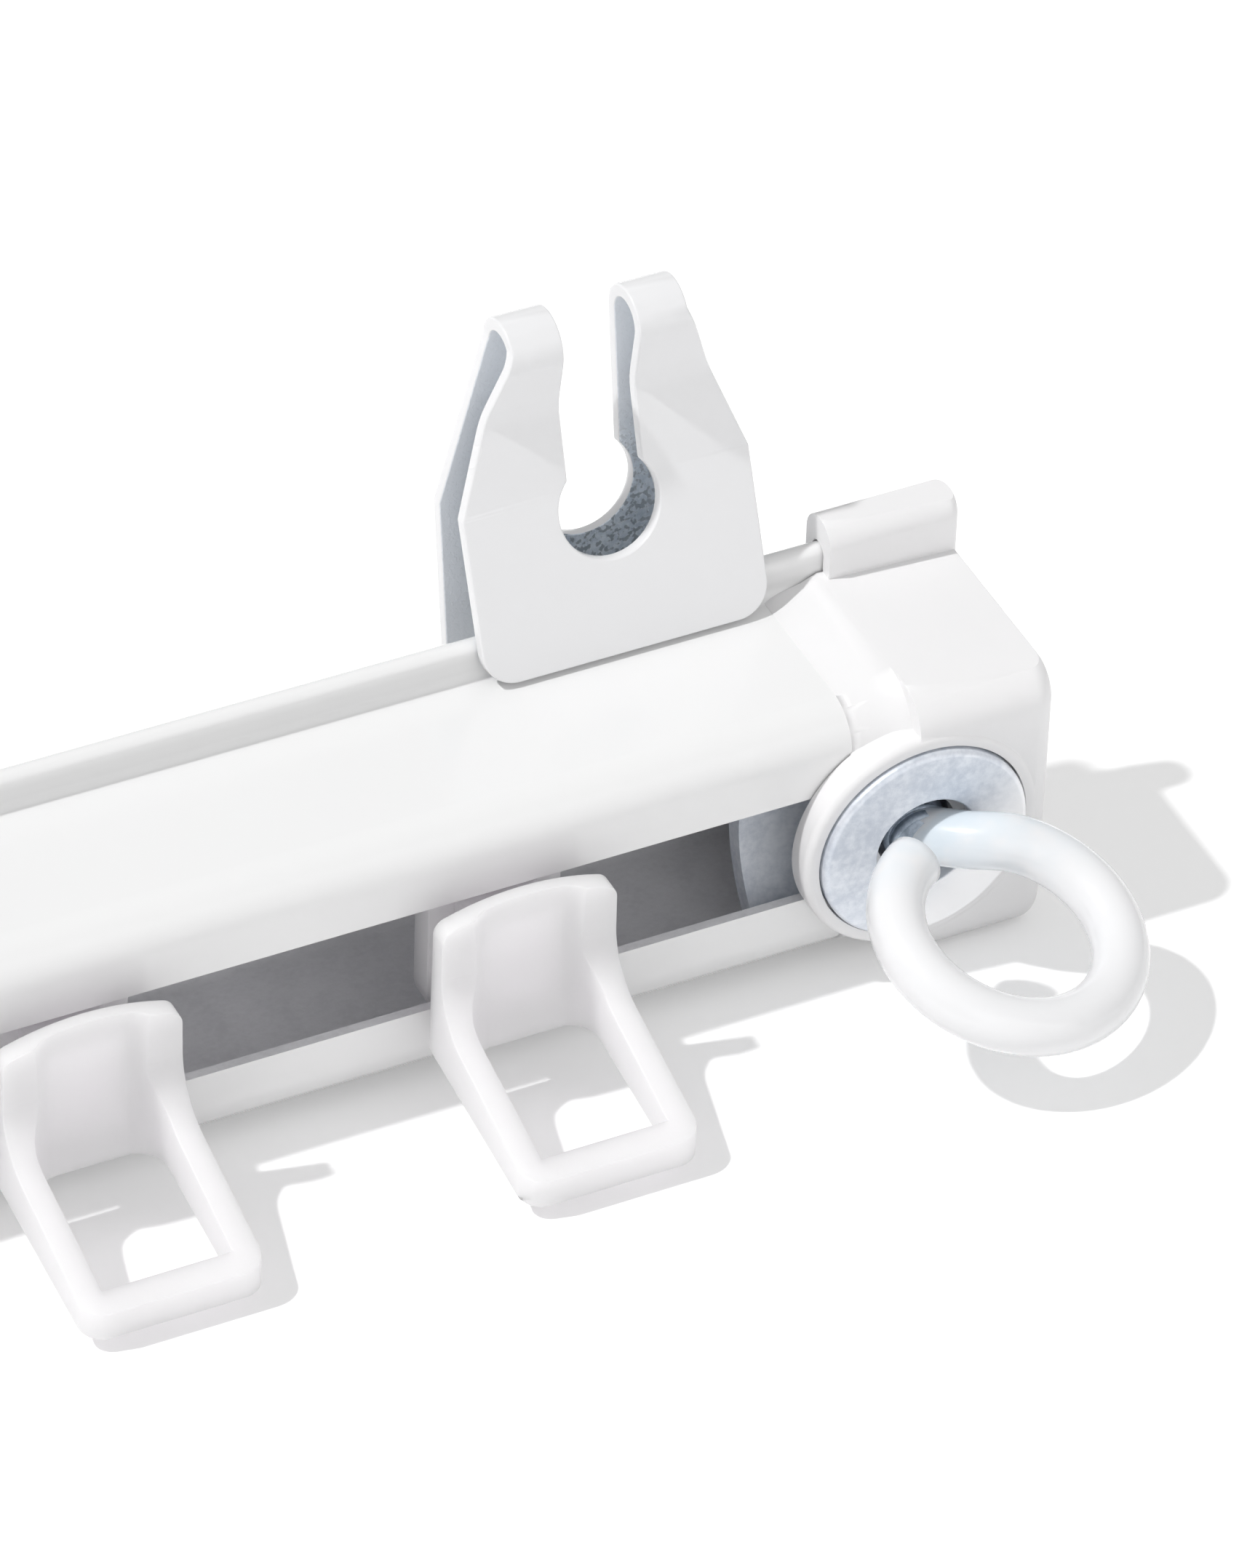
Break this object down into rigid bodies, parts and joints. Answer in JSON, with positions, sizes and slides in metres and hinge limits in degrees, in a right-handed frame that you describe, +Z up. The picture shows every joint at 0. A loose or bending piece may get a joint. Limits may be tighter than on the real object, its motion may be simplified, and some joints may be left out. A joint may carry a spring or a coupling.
{
  "type": "curtain track",
  "caption": "Rolled C-section curtain track with a ridge, end caps clamped by screw eyes, folded spring clips on the ridge and looped gliders in the slot.",
  "frame": {"origin": "middle of the rail's flat underside, as the track lies with its slot facing -Y", "axes": "+X along the track, +Y towards the ceiling or wall side that the ridge and clips meet, +Z up from the side that the track lies on"},
  "size_m": [0.2854, 0.0355, 0.0361],
  "materials": {
    "rail": "white enamel outside, bare galvanised inside",
    "cap": "moulded white plastic, satin",
    "washer": "zinc plated",
    "screw_eye": "white dipped coating over steel wire",
    "insert": "zinc plated",
    "clip": "white enamel over spring steel, dark inside",
    "glider": "translucent natural plastic"
  },
  "bodies": {
    "track": {"rail": "rail", "end_cap_right": "cap", "end_cap_left": "cap", "washer_right": "washer", "washer_left": "washer", "insert_right": "insert", "insert_left": "insert"},
    "eye_right": {"screw_eye_right": "screw_eye"},
    "clip_right": {"clip_right": "clip"},
    "eye_left": {"screw_eye_left": "screw_eye"},
    "clip_left": {"clip_left": "clip"},
    "glider_01": {"glider_01": "glider"},
    "glider_02": {"glider_02": "glider"},
    "glider_03": {"glider_03": "glider"},
    "glider_04": {"glider_04": "glider"},
    "glider_05": {"glider_05": "glider"},
    "glider_06": {"glider_06": "glider"},
    "glider_07": {"glider_07": "glider"},
    "glider_08": {"glider_08": "glider"},
    "glider_09": {"glider_09": "glider"},
    "glider_10": {"glider_10": "glider"}
  },
  "joints": [
    {"name": "eye_right_turn", "type": "hinge", "parent": "track", "child": "eye_right", "pos_m": [0.1343, -0.006, 0.0081], "axis": [0, -1, 0], "range_deg": [0, 360]},
    {"name": "clip_right_slide", "type": "slide", "parent": "track", "child": "clip_right", "axis": [1, 0, 0], "range_m": [-0.1135, 0]},
    {"name": "eye_left_turn", "type": "hinge", "parent": "track", "child": "eye_left", "pos_m": [-0.1343, -0.006, 0.0081], "axis": [0, -1, 0], "range_deg": [0, 360]},
    {"name": "clip_left_slide", "type": "slide", "parent": "track", "child": "clip_left", "axis": [1, 0, 0], "range_m": [0, 0.1135]},
    {"name": "glider_01_slide", "type": "slide", "parent": "track", "child": "glider_01", "axis": [1, 0, 0], "range_m": [-0.0069, 0.0096]},
    {"name": "glider_02_slide", "type": "slide", "parent": "track", "child": "glider_02", "axis": [1, 0, 0], "range_m": [-0.0069, 0.0069]},
    {"name": "glider_03_slide", "type": "slide", "parent": "track", "child": "glider_03", "axis": [1, 0, 0], "range_m": [-0.0069, 0.0069]},
    {"name": "glider_04_slide", "type": "slide", "parent": "track", "child": "glider_04", "axis": [1, 0, 0], "range_m": [-0.0069, 0.0069]},
    {"name": "glider_05_slide", "type": "slide", "parent": "track", "child": "glider_05", "axis": [1, 0, 0], "range_m": [-0.0069, 0.0069]},
    {"name": "glider_06_slide", "type": "slide", "parent": "track", "child": "glider_06", "axis": [1, 0, 0], "range_m": [-0.0069, 0.0069]},
    {"name": "glider_07_slide", "type": "slide", "parent": "track", "child": "glider_07", "axis": [1, 0, 0], "range_m": [-0.0069, 0.0069]},
    {"name": "glider_08_slide", "type": "slide", "parent": "track", "child": "glider_08", "axis": [1, 0, 0], "range_m": [-0.0069, 0.0069]},
    {"name": "glider_09_slide", "type": "slide", "parent": "track", "child": "glider_09", "axis": [1, 0, 0], "range_m": [-0.0069, 0.0069]},
    {"name": "glider_10_slide", "type": "slide", "parent": "track", "child": "glider_10", "axis": [1, 0, 0], "range_m": [-0.0096, 0.0069]}
  ]
}
